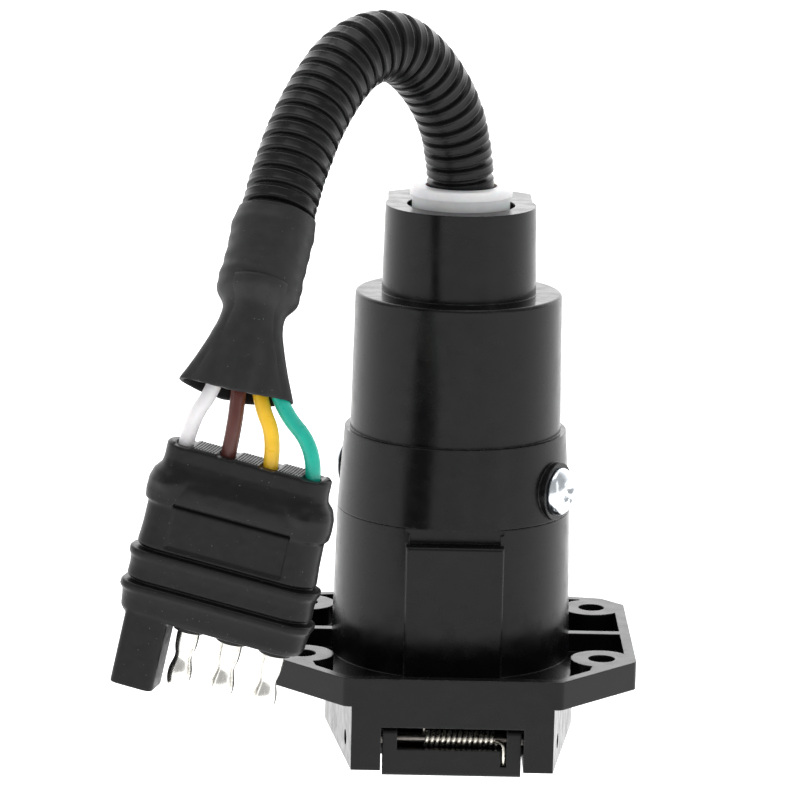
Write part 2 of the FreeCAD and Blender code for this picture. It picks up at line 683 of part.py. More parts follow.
LEAD_BLADES = ["blade_ground", "blade_tail", "blade_left_turn", "blade_right_turn"]
LEAD_STARTS = [-135, -45, 135, 45]
for colour, node, start in zip(WIRE_COLOURS, LEAD_BLADES, LEAD_STARTS):
    save("lead_" + colour, tube("lead_" + colour, lead(BLADE_ANGLES[node], start), WIRE_R))

save("loom", tube("loom", LOOM_ROUTE, LOOM_R))
save("heat_shrink_sleeve", heat_shrink_sleeve())
for index, colour in enumerate(WIRE_COLOURS):
    save("wire_" + colour, exposed_wire("wire_" + colour, index))
save("flat_plug_body", flat_plug_body())
save("flat_socket_white", flat_socket_contact())
for colour, x in zip(WIRE_COLOURS[1:], plug_row()[1:]):
    save("flat_pin_" + colour, flat_pin(x))
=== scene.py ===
import json
import math

import bmesh
import bpy
from mathutils import Matrix, Vector, noise


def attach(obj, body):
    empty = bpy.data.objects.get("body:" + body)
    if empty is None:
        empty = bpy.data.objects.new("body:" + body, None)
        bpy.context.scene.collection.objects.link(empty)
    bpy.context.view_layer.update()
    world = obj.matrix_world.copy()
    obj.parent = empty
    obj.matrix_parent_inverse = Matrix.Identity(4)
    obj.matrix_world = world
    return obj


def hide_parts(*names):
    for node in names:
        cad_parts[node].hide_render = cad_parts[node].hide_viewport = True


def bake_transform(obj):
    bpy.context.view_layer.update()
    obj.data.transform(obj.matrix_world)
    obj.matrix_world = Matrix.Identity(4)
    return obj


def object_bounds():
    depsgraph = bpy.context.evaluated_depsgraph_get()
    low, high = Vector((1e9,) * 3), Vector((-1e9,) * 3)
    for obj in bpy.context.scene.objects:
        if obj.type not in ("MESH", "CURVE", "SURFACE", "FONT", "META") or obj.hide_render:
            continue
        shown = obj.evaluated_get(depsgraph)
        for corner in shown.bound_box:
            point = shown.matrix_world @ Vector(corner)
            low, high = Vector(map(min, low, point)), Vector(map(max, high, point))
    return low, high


# Trailer wiring adapter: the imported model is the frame, and this script gives it its looks.
# X to the right, -Y towards the lid's hinge and the camera, +Z up towards the loom. Lengths are in
# millimetres and are made metres with MM, except where a comment says metres.

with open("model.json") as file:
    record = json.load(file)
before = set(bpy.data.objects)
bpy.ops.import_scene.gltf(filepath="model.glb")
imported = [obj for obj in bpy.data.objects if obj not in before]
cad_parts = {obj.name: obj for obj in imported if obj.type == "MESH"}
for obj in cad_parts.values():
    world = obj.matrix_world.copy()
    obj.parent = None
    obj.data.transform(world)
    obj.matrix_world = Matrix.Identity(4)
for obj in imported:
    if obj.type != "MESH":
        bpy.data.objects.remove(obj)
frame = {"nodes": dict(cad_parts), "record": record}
CAD_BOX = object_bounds()
MM = 0.001

# Camera: lens and sensor in millimetres, target and distance in metres
LENS = 197.0
SENSOR = 36.0
CAMERA_TARGET = Vector((-0.0128, 0.0, 0.054))
CAMERA_DISTANCE = 1.0005
CAMERA_AZIMUTH = math.radians(-0.76)
CAMERA_ELEVATION = math.radians(11.94)
CAMERA_ROLL = math.radians(1.32)

# World brightness from the front (-Y) to the back: where the ramp starts and ends, and its strengths
WORLD_RAMP = (0.0, 0.9, 0.5, 2.3)

# Softboxes, in metres and watts: place, size and power
SOFTBOXES = {
    "top_softbox": ((0.0, -0.1, 1.5), (1.2, 0.9), 6.0),
    "left_softbox": ((-1.4, -0.5, 0.6), (0.35, 1.2), 1.5),
    "right_softbox": ((1.2, -1.0, 0.6), (0.3, 1.2), 1.5),
}
LIGHT_AIM = Vector((0.0, 0.0, 0.05))

# The floor, in metres, lies below the open lid's sweep, so that no pose reaches it.
FLOOR_DROP = 0.085
FLOOR_HALF = 60.0

# Loom, with the route that the CAD tube follows
LOOM_ROUTE = [
    (0, 0, 97),
    (0, 0, 109.4),
    (-4.4, -6.2, 125.5),
    (-15, -16.9, 138.4),
    (-25, -25.8, 137.2),
    (-33, -37.1, 127),
    (-37.9, -46.9, 115.5),
    (-41.4, -55.3, 102.8),
    (-44.4, -63.1, 89.1),
]
LOOM_D = 15.8
RIB_PITCH = 3.75
GROOVE_DEPTH = 1.15
SLIT_ANGLE = math.radians(144)
SLIT_DEPTH = 1.1
SEAM_ANGLE = math.radians(37)
SEAM_DEPTH = 0.09

# Heat-shrink sleeve: half width, half thickness, squareness and height. Heights run up the loom from
# its end and down to the flattened mouth.
SLEEVE_STATIONS = [
    (8.5, 8.5, 0.0, 18.9),
    (8.6, 8.6, 0.0, 18.0),
    (8.95, 8.95, 0.0, 15.5),
    (8.85, 8.85, 0.0, 12.0),
    (8.8, 8.8, 0.0, 8.0),
    (8.85, 8.85, 0.0, 4.8),
    (9.15, 9.15, 0.0, 3.2),
    (8.95, 8.9, 0.0, 1.8),
    (9.1, 9.0, 0.0, 0.4),
    (8.5, 8.2, 0.0, -0.9),
    (7.3, 6.7, 0.1, -2.2),
    (6.75, 5.9, 0.2, -3.4),
    (6.75, 5.5, 0.3, -5.0),
    (7.2, 5.1, 0.4, -7.5),
    (8.3, 4.6, 0.5, -11.0),
    (10.1, 4.0, 0.5, -15.6),
    (12.4, 3.4, 0.5, -21.4),
]
SLEEVE_TOP = SLEEVE_STATIONS[0][3]
MOUTH_HALF_WIDTH = SLEEVE_STATIONS[-1][0]
MOUTH_Z = SLEEVE_STATIONS[-1][3]
SLEEVE_WALL = 0.9
LIP_SAG = 1.2
FOLD_PITCH = 5.6
FOLD_DEPTH = 0.42

# Flat plug, with the place and the lean that the CAD body has
PLUG_TOP = Vector((-45.1, -76.7, 56.9))
PLUG_LEAN = math.radians(11.6)
PLUG_YAW = math.radians(12.0)
PLUG_PITCH = 9.5
CONTACT_ROW = [(i - 1.5) * PLUG_PITCH + 0.05 for i in range(4)]
POST_X = CONTACT_ROW[0] + 0.5
PANEL_HALF_WIDTH = 13.0
PANEL_FACE_Y = 4.65
PANEL_GROOVE_Y = 4.0
SHOULDER_BULGE_X = 15.2

# half width, half thickness and height of the plug's skin, top to bottom
PLUG_STATIONS = [
    (17.6, 4.4, 0.0),
    (18.1, 4.9, -0.5),
    (18.1, 4.9, -3.6),
    (18.3, 5.1, -5.0),
    (19.6, 5.6, -6.6),
    (20.2, 5.8, -8.6),
    (20.3, 5.8, -11.2),
    (20.15, 5.6, -13.0),
    (19.4, 5.2, -13.7),
    (19.5, 5.2, -19.0),
    (19.8, 5.3, -23.1),
    (19.1, 4.4, -23.45),
    (19.1, 4.4, -23.85),
    (20.9, 6.0, -24.1),
    (20.9, 6.05, -25.3),
    (20.4, 5.7, -26.2),
    (20.3, 5.5, -28.0),
    (20.4, 5.5, -30.5),
    (19.7, 4.6, -30.85),
    (19.7, 4.6, -31.25),
    (21.2, 6.2, -31.5),
    (21.3, 6.25, -32.8),
    (20.7, 5.8, -33.6),
    (20.5, 5.5, -35.0),
    (20.3, 5.3, -37.4),
    (19.6, 4.7, -38.6),
]

# Wires
WIRES = ["white", "brown", "yellow", "green"]
WIRE_D = 3.3
WIRE_SEAT = -4.0
WIRE_SEAT_Y = -0.6
WIRE_BUNCH = [(-3.6, 0.8), (-0.9, -1.9), (1.5, 1.9), (4.1, -0.9)]
WIRE_BUNCH_END = -7.0
WIRE_MOUTH_X = [-4.6, 0.6, 5.0, 8.8]
WIRE_MOUTH_Z = -22.2

# Cap screws, and how far each head's cross is turned
CAP_SCREW_ANGLE = -30.0
CROSS_ANGLES = {0: 28, 180: 58}
CAP_SCREW_Z = 36.4
CAP_BOSS_FACE = 26.95

# Lid hinge and its spring
HINGE_Y = -35.0
HINGE_Z = -15.9
SPRING_TURNS = 13
SPRING_WIRE_R = 0.45
SPRING_COIL_R = 1.55
SPRING_X0 = -6.6
SPRING_X1 = 10.6
SPRING_LEG_X = 11.6
SPRING_LEG_Y = -38.9


# ---- helpers ----


def link(obj):
    bpy.context.scene.collection.objects.link(obj)
    return obj


def mesh_object(name, verts, faces, smooth=True):
    """A mesh object from vertices in millimetres."""
    mesh = bpy.data.meshes.new(name)
    mesh.from_pydata([Vector(v) * MM for v in verts], [], faces)
    mesh.validate()
    mesh.polygons.foreach_set("use_smooth", [smooth] * len(mesh.polygons))
    return link(bpy.data.objects.new(name, mesh))


def loft(rings):
    """Vertices and faces of a skin through rings of equally many points, closed at both ends."""
    count = len(rings[0])
    verts = [v for ring in rings for v in ring]
    faces = []
    for r in range(len(rings) - 1):
        low, high = r * count, (r + 1) * count
        for i in range(count):
            j = (i + 1) % count
            faces.append((low + i, low + j, high + j, high + i))
    faces.append(tuple(reversed(range(count))))
    faces.append(tuple(range(len(verts) - count, len(verts))))
    return verts, faces


def smoothstep(low, high, x):
    t = min(max((x - low) / (high - low), 0.0), 1.0)
    return t * t * (3 - 2 * t)


def nurbs(name, route):
    """A curve object along a cord's route, in metres."""
    curve = bpy.data.curves.new(name, "CURVE")
    curve.dimensions = "3D"
    spline = curve.splines.new("NURBS")
    spline.points.add(len(route) - 1)
    for point, place in zip(spline.points, route):
        point.co = (*(Vector(place) * MM), 1.0)
    spline.order_u = 3
    spline.use_endpoint_u = True
    curve.resolution_u = 24
    return link(bpy.data.objects.new(name, curve))


def line_of(curve_obj):
    """The points along a curve with no bevel, in millimetres."""
    bpy.context.view_layer.update()
    graph = bpy.context.evaluated_depsgraph_get()
    mesh = bpy.data.meshes.new_from_object(curve_obj.evaluated_get(graph))
    points = [v.co / MM for v in mesh.vertices]
    bpy.data.meshes.remove(mesh)
    return points


class Path:
    """A line of points with a frame carried along it without twist."""

    def __init__(self, points, side):
        self.points = points
        self.at_length = [0.0]
        for a, b in zip(points, points[1:]):
            self.at_length.append(self.at_length[-1] + (b - a).length)
        self.length = self.at_length[-1]
        self.tangents = []
        for i in range(len(points)):
            a = points[max(i - 1, 0)]
            b = points[min(i + 1, len(points) - 1)]
            self.tangents.append((b - a).normalized())
        self.sides = []
        side = Vector(side)
        for tangent in self.tangents:
            side = (side - tangent * side.dot(tangent)).normalized()
            self.sides.append(side)

    def frame(self, s):
        """Place, tangent, side and third direction at length s, straight on past the ends."""
        inside = min(max(s, 0.0), self.length)
        i = 0
        while i < len(self.at_length) - 2 and self.at_length[i + 1] < inside:
            i += 1
        span = self.at_length[i + 1] - self.at_length[i]
        t = (inside - self.at_length[i]) / span if span else 0.0
        place = self.points[i].lerp(self.points[i + 1], t)
        tangent = self.tangents[i].lerp(self.tangents[i + 1], t).normalized()
        side = self.sides[i].lerp(self.sides[i + 1], t)
        side = (side - tangent * side.dot(tangent)).normalized()
        return place + tangent * (s - inside), tangent, side, tangent.cross(side)


# ---- materials ----


RANGE_INPUTS = ("From Min", "From Max", "To Min", "To Max")


class Nodes:
    """A material's node tree, built a node at a time."""

    def __init__(self, name):
        self.material = bpy.data.materials.new(name)
        self.material.use_nodes = True
        self.tree = self.material.node_tree
        self.shader = self.tree.nodes["Principled BSDF"]
        coords = self.tree.nodes.new("ShaderNodeTexCoord")
        self.place = coords.outputs["Object"]

    def add(self, kind, **settings):
        node = self.tree.nodes.new(kind)
        for key, value in settings.items():
            setattr(node, key, value)
        return node

    def link(self, source, target):
        self.tree.links.new(source, target)

    def noise(self, per_mm, detail=3.0, stretch=(1, 1, 1)):
        """Noise with per_mm blobs to a millimetre."""
        mapping = self.add("ShaderNodeMapping")
        mapping.inputs["Scale"].default_value = [per_mm * s / MM for s in stretch]
        self.link(self.place, mapping.inputs["Vector"])
        texture = self.add("ShaderNodeTexNoise")
        texture.inputs["Scale"].default_value = 1.0
        texture.inputs["Detail"].default_value = detail
        self.link(mapping.outputs["Vector"], texture.inputs["Vector"])
        return texture.outputs["Fac"]

    def spread(self, value, low, high, to_low, to_high):
        """value, between low and high, spread over to_low to to_high."""
        node = self.add("ShaderNodeMapRange")
        self.link(value, node.inputs["Value"])
        for key, number in zip(RANGE_INPUTS, (low, high, to_low, to_high)):
            node.inputs[key].default_value = number
        return node.outputs["Result"]

    def times(self, a, b):
        node = self.add("ShaderNodeMath", operation="MULTIPLY")
        self.link(a, node.inputs[0])
        self.link(b, node.inputs[1])
        return node.outputs[0]

    def mix(self, factor, colour_a, colour_b):
        """Colours or earlier results, mixed by factor."""
        node = self.add("ShaderNodeMix", data_type="RGBA")
        self.link(factor, node.inputs["Factor"])
        for key, colour in ((6, colour_a), (7, colour_b)):
            if isinstance(colour, tuple):
                node.inputs[key].default_value = (*colour, 1.0)
            else:
                self.link(colour, node.inputs[key])
        return node.outputs[2]

    def rounded(self, radius_mm):
        """The surface's direction with its edges rounded off."""
        node = self.add("ShaderNodeBevel")
        node.samples = 4
        node.inputs["Radius"].default_value = radius_mm * MM
        return node.outputs["Normal"]

    def edges(self, radius_mm):
        """1 along sharp edges and 0 elsewhere."""
        geometry = self.add("ShaderNodeNewGeometry")
        dot = self.add("ShaderNodeVectorMath", operation="DOT_PRODUCT")
        self.link(self.rounded(radius_mm), dot.inputs[0])
        self.link(geometry.outputs["Normal"], dot.inputs[1])
        return self.spread(dot.outputs["Value"], 0.99, 0.8, 0.0, 1.0)

    def bump(self, height, depth_mm, normal=None):
        node = self.add("ShaderNodeBump")
        node.inputs["Strength"].default_value = 1.0
        node.inputs["Distance"].default_value = depth_mm * MM
        self.link(height, node.inputs["Height"])
        if normal is not None:
            self.link(normal, node.inputs["Normal"])
        return node.outputs["Normal"]

    def set(self, **sockets):
        for key, value in sockets.items():
            self.shader.inputs[key.replace("_", " ")].default_value = value

    def feed(self, key, source):
        self.link(source, self.shader.inputs[key])


def moulded_plastic(name, colour, edge_highlight_colour, roughness, bevel_mm=0.25, scuffs=0.5):
    """Black moulded nylon: fine grain, a painted highlight along sharp edges, faint flow marks and
    scuffs.
    """
    m = Nodes(name)
    m.set(Specular_IOR_Level=0.2)
    # paler colour along sharp edges, broken up by noise: a painted edge highlight
    edge_highlight = m.times(m.edges(bevel_mm), m.spread(m.noise(0.6), 0.35, 0.6, 0.1, 1.0))
    marks = m.spread(m.noise(0.12, 6.0, (1, 1, 3)), 0.52, 0.72, 0.0, scuffs)
    tint = m.mix(marks, colour, tuple(c * 1.7 for c in colour))
    m.feed("Base Color", m.mix(edge_highlight, tint, edge_highlight_colour))
    cloud = m.spread(m.noise(0.25, 5.0), 0.3, 0.7, roughness - 0.05, roughness + 0.08)
    m.feed("Roughness", cloud)
    m.feed("Normal", m.bump(m.noise(7.0, 2.0), 0.002, m.rounded(bevel_mm)))
    return m.material


def soft_rubber(name, colour, roughness, dust, bevel_mm=0.0, grain_mm=0.004):
    """Matte soft plastic with pale dust specks and cloudy handling marks."""
    m = Nodes(name)
    m.set(Specular_IOR_Level=0.2)
    cloud = m.spread(m.noise(0.3, 5.0), 0.35, 0.7, 0.0, 0.6)
    tint = m.mix(cloud, colour, tuple(c * 1.5 for c in colour))
    specks = m.spread(m.noise(2.6, 1.0), 0.76, 0.8, 0.0, dust)
    m.feed("Base Color", m.mix(specks, tint, (0.3, 0.3, 0.29)))
    m.feed("Roughness", m.spread(m.noise(0.5, 4.0), 0.3, 0.7, roughness - 0.07, roughness + 0.07))
    normal = m.rounded(bevel_mm) if bevel_mm else None
    m.feed("Normal", m.bump(m.noise(4.5, 4.0), grain_mm, normal))
    return m.material


def bright_metal(name, colour, roughness, stain, stretch=(1, 1, 1), bevel_mm=0.08):
    """Plated or drawn metal: fine draw lines, faint stains."""
    m = Nodes(name)
    m.set(Metallic=1.0)
    cloud = m.spread(m.noise(0.8, 5.0), 0.35, 0.75, 0.0, 0.7)
    m.feed("Base Color", m.mix(cloud, colour, stain))
    lines = m.noise(1.5, 4.0, stretch)
    m.feed("Roughness", m.spread(lines, 0.3, 0.7, roughness * 0.7, roughness * 1.4))
    m.feed("Normal", m.bump(m.noise(5.0, 3.0, stretch), 0.002, m.rounded(bevel_mm)))
    return m.material


def insulation(name, colour, shade):
    """Glossy PVC insulation, a little uneven in colour and thickness."""
    m = Nodes(name)
    m.set(Specular_IOR_Level=0.5, Subsurface_Weight=0.06, Subsurface_Scale=0.001)
    m.feed("Base Color", m.mix(m.spread(m.noise(0.35, 4.0), 0.35, 0.7, 0.0, 0.8), colour, shade))
    m.feed("Roughness", m.spread(m.noise(1.0, 3.0), 0.3, 0.7, 0.26, 0.4))
    m.feed("Normal", m.bump(m.noise(1.6, 3.0), 0.03))
    return m.material


def white_nylon(name):
    """Natural nylon: slightly see-through, with faint flow lines."""
    m = Nodes(name)
    m.set(Subsurface_Weight=0.25, Subsurface_Scale=0.002, Specular_IOR_Level=0.45)
    flow = m.spread(m.noise(0.3, 4.0), 0.3, 0.7, 0.0, 1.0)
    m.feed("Base Color", m.mix(flow, (0.9, 0.9, 0.91), (0.82, 0.82, 0.84)))
    m.feed("Roughness", m.spread(m.noise(0.8, 3.0), 0.3, 0.7, 0.32, 0.45))
    m.feed("Normal", m.bump(m.noise(3.0, 3.0), 0.01, m.rounded(0.3)))
    return m.material


MATERIALS = {
    # the third colour of each moulded plastic is its painted edge highlight
    "housing_plastic": moulded_plastic(
        "moulded_nylon", (0.0045, 0.0045, 0.005), (0.05, 0.05, 0.05), 0.22, 0.4
    ),
    "carrier_plastic": moulded_plastic(
        "carrier_nylon", (0.02, 0.02, 0.021), (0.09, 0.09, 0.09), 0.45
    ),
    "loom_plastic": moulded_plastic(
        "loom_polyethylene", (0.007, 0.007, 0.0075), (0.03, 0.03, 0.03), 0.26, 0.12, 0.6
    ),
    "seal_rubber": soft_rubber("seal_rubber", (0.012, 0.012, 0.012), 0.6, 0.1, 0.1),
    "shrink_sleeve": soft_rubber("shrink_tubing", (0.02, 0.02, 0.021), 0.5, 0.4, 0.0, 0.006),
    "plug_rubber": soft_rubber("plug_rubber", (0.006, 0.006, 0.0065), 0.36, 0.4, 0.0, 0.004),
    "zinc_screw": bright_metal("zinc_plating", (0.74, 0.78, 0.82), 0.2, (0.62, 0.68, 0.74)),
    "contact_brass": bright_metal(
        "contact_brass", (0.78, 0.6, 0.33), 0.26, (0.66, 0.47, 0.24), (1, 1, 0.1)
    ),
    "pin_steel": bright_metal("pin_steel", (0.3, 0.28, 0.26), 0.3, (0.2, 0.18, 0.16), (0.1, 1, 1)),
    "spring_steel": bright_metal("spring_steel", (0.86, 0.83, 0.75), 0.3, (0.74, 0.7, 0.6)),
    "contact_nickel": bright_metal(
        "contact_nickel", (0.86, 0.85, 0.81), 0.22, (0.78, 0.76, 0.7), (1, 1, 0.2)
    ),
    "bushing_white": white_nylon("bushing_nylon"),
    "insulation_white": insulation("insulation_white", (0.86, 0.85, 0.86), (0.78, 0.76, 0.78)),
    "insulation_brown": insulation("insulation_brown", (0.105, 0.028, 0.021), (0.08, 0.02, 0.016)),
    "insulation_yellow": insulation("insulation_yellow", (0.94, 0.58, 0.03), (0.86, 0.5, 0.02)),
    "insulation_green": insulation("insulation_green", (0.008, 0.46, 0.34), (0.006, 0.38, 0.29)),
}


def finish_piece(obj, body, slot, *nodes):
    """obj rides on body, takes the finish of slot, and stands for the CAD nodes."""
    obj.data.materials.clear()
    obj.data.materials.append(MATERIALS[slot])
    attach(obj, body)
    if nodes:
        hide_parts(*nodes)
    return obj


def dress_cad_nodes():
    """Every CAD node gets the material of its slot in the record."""
    for part in frame["record"]["subparts"]:
        obj = frame["nodes"][part["node"]]
        obj.data.materials.clear()
        obj.data.materials.append(MATERIALS[part["material_slot"]])


# ---- stage, light and camera ----


def place_camera():
    data = bpy.data.cameras.new("camera")
    data.lens = LENS
    data.sensor_width = SENSOR
    data.clip_start = 0.05
    data.clip_end = 200.0
    flat = math.cos(CAMERA_ELEVATION)
    back = Vector(
        (math.sin(CAMERA_AZIMUTH) * flat, -math.cos(CAMERA_AZIMUTH) * flat, math.sin(CAMERA_ELEVATION))
    )
    right = Vector((0, 0, 1)).cross(back).normalized()
    up = back.cross(right)
    cos_roll, sin_roll = math.cos(CAMERA_ROLL), math.sin(CAMERA_ROLL)
    across = right * cos_roll + up * sin_roll
    upward = up * cos_roll - right * sin_roll
    camera = link(bpy.data.objects.new("camera", data))
    turn = Matrix((across, upward, back)).transposed().to_4x4()
    camera.matrix_world = Matrix.Translation(CAMERA_TARGET + back * CAMERA_DISTANCE) @ turn
    bpy.context.scene.camera = camera


def area_light(name, place, size, power):
    data = bpy.data.lights.new(name, "AREA")
    data.shape = "RECTANGLE"
    data.size, data.size_y = size
    data.energy = power
    light = link(bpy.data.objects.new(name, data))
    light.location = place
    direction = LIGHT_AIM - Vector(place)
    light.rotation_euler = direction.to_track_quat("-Z", "Y").to_euler()


def build_floor():
    floor_z = CAD_BOX[0][2] - FLOOR_DROP
    mesh = bpy.data.meshes.new("floor")
    corners = [(-1, -1), (1, -1), (1, 1), (-1, 1)]
    verts = [(x * FLOOR_HALF, y * FLOOR_HALF, floor_z) for x, y in corners]
    mesh.from_pydata(verts, [], [(0, 1, 2, 3)])
    floor = link(bpy.data.objects.new("floor", mesh))
    m = Nodes("floor")
    m.set(Base_Color=(0.9, 0.9, 0.9, 1.0), Roughness=0.9, Specular_IOR_Level=0.1)
    m.set(Emission_Color=(1.0, 1.0, 1.0, 1.0), Emission_Strength=0.8)
    floor.data.materials.append(m.material)


def build_world():
    """A bright backdrop behind and beside the object, and a dim room in front."""
    world = bpy.data.worlds.new("studio")
    bpy.context.scene.world = world
    world.use_nodes = True
    tree = world.node_tree
    background = tree.nodes["Background"]
    background.inputs["Color"].default_value = (1.0, 1.0, 1.0, 1.0)
    coords = tree.nodes.new("ShaderNodeTexCoord")
    split = tree.nodes.new("ShaderNodeSeparateXYZ")
    depth = tree.nodes.new("ShaderNodeMapRange")
    depth.interpolation_type = "SMOOTHSTEP"
    tree.links.new(coords.outputs["Generated"], split.inputs["Vector"])
    tree.links.new(split.outputs["Y"], depth.inputs["Value"])
    for key, number in zip(RANGE_INPUTS, WORLD_RAMP):
        depth.inputs[key].default_value = number
    tree.links.new(depth.outputs["Result"], background.inputs["Strength"])
    bpy.context.scene.view_settings.view_transform = "Standard"


def build_stage():
    build_floor()
    build_world()
    for name, (place, size, power) in SOFTBOXES.items():
        area_light(name, place, size, power)


# ---- loom ----


def groove_at(phase):
    """How far the surface lies below the rib's top, 0 to 1, over one pitch."""
    half_groove = 0.1
    wall = 0.08
    return 1.0 - smoothstep(half_groove, half_groove + wall, abs(phase - 0.5))


def slit_and_seam(angle, groove):
    """How far the slit, its lifted lip and the mould seam move the surface at an angle."""
    from_slit = math.remainder(angle - SLIT_ANGLE, 2 * math.pi)
    from_seam = math.remainder(angle - SEAM_ANGLE, 2 * math.pi)
    lip_angle, lip_height = 0.7, 0.28
    move = -SLIT_DEPTH * (1.0 - smoothstep(0.03, 0.1, abs(from_slit))) * (1.0 - groove)
    move -= SEAM_DEPTH * (1.0 - smoothstep(0.01, 0.05, abs(from_seam)))
    if 0 < from_slit < lip_angle:
        move += lip_height * (1.0 - from_slit / lip_angle)
    return move


def make_loom(path):
    """Corrugated split tube: flat-topped ribs, a mould seam and an open slit."""
    steps_per_pitch = 18
    around = 96
    length = path.length
    steps = int(length / RIB_PITCH * steps_per_pitch)
    rings = []
    for k in range(steps + 1):
        s = length * k / steps
        phase = (s / RIB_PITCH) % 1.0
        groove = groove_at(phase)
        # each rib's crown stands up a little at its two edges
        off_rib = abs(math.remainder(phase, 1.0))
        crown = 0.1 * math.exp(-(((off_rib - 0.24) / 0.06) ** 2))
        rib = int(s / RIB_PITCH + 0.5)
        swell = LOOM_D / 2 * (0.955 + 0.05 * smoothstep(0.2, 0.55, s / length))
        wobble = 0.06 * noise.noise(Vector((rib * 0.9, 0, 0)))
        place, _, side, third = path.frame(s)
        ring = []
        for i in range(around):
            angle = 2 * math.pi * i / around
            cos, sin = math.cos(angle), math.sin(angle)
            radius = swell + crown + wobble - groove * GROOVE_DEPTH + slit_and_seam(angle, groove)
            radius += 0.05 * noise.noise(Vector((cos * 1.5, sin * 1.5, s * 0.4)))
            ring.append(place + side * cos * radius + third * sin * radius)
        rings.append(ring)
    return mesh_object("loom_tube", *loft(rings))


# ---- sleeve ----


def sleeve_axes(path):
    """The loom's end, and the flattened mouth's across, through and back directions from it."""
    back = -path.tangents[-1]
    across = Vector((0.98, -0.05, -0.2))
    across = (across - back * across.dot(back)).normalized()
    return path.points[-1], across, back.cross(across), back


def sleeve_point(path, x, y, z):
    end, across, through, back = sleeve_axes(path)
    return end + across * x + through * y + back * z


def sleeve_station(z):
    """The sleeve's half width, half thickness and squareness at height z."""
    for high, low in zip(SLEEVE_STATIONS, SLEEVE_STATIONS[1:]):
        if z >= low[3]:
            t = (z - low[3]) / (high[3] - low[3])
            return [b + (a - b) * t for a, b in zip(high[:3], low[:3])]
    return SLEEVE_STATIONS[-1][:3]


def sleeve_ring(path, z, inset):
    """One ring of the sleeve, inset from its outer face."""
    around = 96
    # soften the stations' corners
    near = [sleeve_station(z + d) for d in (-0.7, -0.35, 0.0, 0.35, 0.7)]
    half_w, half_t, square = [sum(values) / len(values) for values in zip(*near)]
    end, across, through, back = sleeve_axes(path)
    centre = path.frame(path.length - z)[0] if z > 0 else end + back * z
    flare = smoothstep(-4.0, -20.0, z)
    # the loom's ribs show faintly through the tubing
    over_ribs = smoothstep(1.0, 3.0, z) * (1 - smoothstep(16, 18.5, z))
    ribs = 0.07 * math.cos(2 * math.pi * z / RIB_PITCH) * over_ribs
    ring = []
    for i in range(around):
        angle = 2 * math.pi * i / around
        cos, sin = math.cos(angle), math.sin(angle)
        # between an ellipse and a flattened ring
        x = math.copysign(abs(cos) ** (1.0 - 0.15 * square), cos) * half_w
        y = math.copysign(abs(sin) ** (1.0 - 0.35 * square), sin) * half_t
        swell = ribs + 0.22 * noise.noise(Vector((cos * 1.3, sin * 1.3, z * 0.16)))
        # shallow folds between the wires in the flattened end
        fold = FOLD_DEPTH * flare * math.cos(x * 2 * math.pi / FOLD_PITCH + 0.6) * abs(sin)
        out = swell + fold - inset
        grow = out / max(math.hypot(x, y), 0.1)
        x += x * grow * (0.5 if flare > 0.3 else 1.0)
        y += y * grow if abs(y) < 1e-6 else math.copysign(out, y) * abs(sin)
        if inset and flare > 0.3:
            x -= math.copysign(inset * 0.5, x) * abs(cos)
        sag = LIP_SAG * flare * (1 - (x / MOUTH_HALF_WIDTH) ** 2)
        ring.append(centre + across * x + through * y - back * sag)
    return ring


def make_sleeve(path):
    """Shrunk tubing: outer skin, rolled mouth and dark inner wall, open at the mouth."""
    ring_step = 0.45
    inner_rings = 40
    inner_top = 2.0
    count = int((SLEEVE_TOP - MOUTH_Z) / ring_step)
    rings = [sleeve_ring(path, SLEEVE_TOP, 0.55)]
    for k in range(count + 1):
        rings.append(sleeve_ring(path, SLEEVE_TOP + (MOUTH_Z - SLEEVE_TOP) * k / count, 0.0))
    for k in range(inner_rings + 1):
        z = MOUTH_Z + (inner_top - MOUTH_Z) * k / inner_rings
        rings.append(sleeve_ring(path, z, SLEEVE_WALL))
    return mesh_object("heat_shrink_tubing", *loft(rings))


# ---- wires ----


def plug_matrix():
    lean = Matrix.Rotation(PLUG_LEAN, 4, "Y")
    yaw = Matrix.Rotation(-PLUG_YAW, 4, "Z")
    return Matrix.Translation(PLUG_TOP) @ lean @ yaw


def wire_route(path, index):
    plug = plug_matrix()
    bunch_x, bunch_y = WIRE_BUNCH[index]
    row_x = CONTACT_ROW[index]
    return [
        sleeve_point(path, bunch_x, bunch_y, 0),
        sleeve_point(path, bunch_x, bunch_y, WIRE_BUNCH_END),
        sleeve_point(path, WIRE_MOUTH_X[index], 0, WIRE_MOUTH_Z),
        plug @ Vector((row_x, WIRE_SEAT_Y, 5.0)),
        plug @ Vector((row_x, WIRE_SEAT_Y, WIRE_SEAT)),
    ]


# ---- flat plug ----


def rounded_slab(half_w, half_t, corner, z, around=120):
    """A ring shaped as a rectangle with round corners, walked from the middle of its right side."""
    corner = min(corner, half_t * 0.98)
    flat_x, flat_y = half_w - corner, half_t - corner
    arc = math.pi / 2 * corner
    quarter = flat_x + flat_y + arc
    ring = []
    for i in range(around):
        s = (i + 0.5) / around * 4 * quarter
        quadrant = int(s / quarter) % 4
        rest = s - quadrant * quarter
        if quadrant in (1, 3):
            rest = quarter - rest
        if rest < flat_y:
            x, y = half_w, rest
        elif rest < flat_y + arc:
            angle = (rest - flat_y) / corner
            x, y = flat_x + corner * math.cos(angle), flat_y + corner * math.sin(angle)
        else:
            x, y = flat_x - (rest - flat_y - arc), half_t
        sign_x = 1 if quadrant in (0, 3) else -1
        sign_y = 1 if quadrant in (0, 1) else -1
        ring.append(Vector((sign_x * x, sign_y * y, z)))
    return ring


def boolean(target, cutter, operation):
    modifier = target.modifiers.new("cut", "BOOLEAN")
    modifier.object = cutter
    modifier.operation = operation
    modifier.solver = "EXACT"


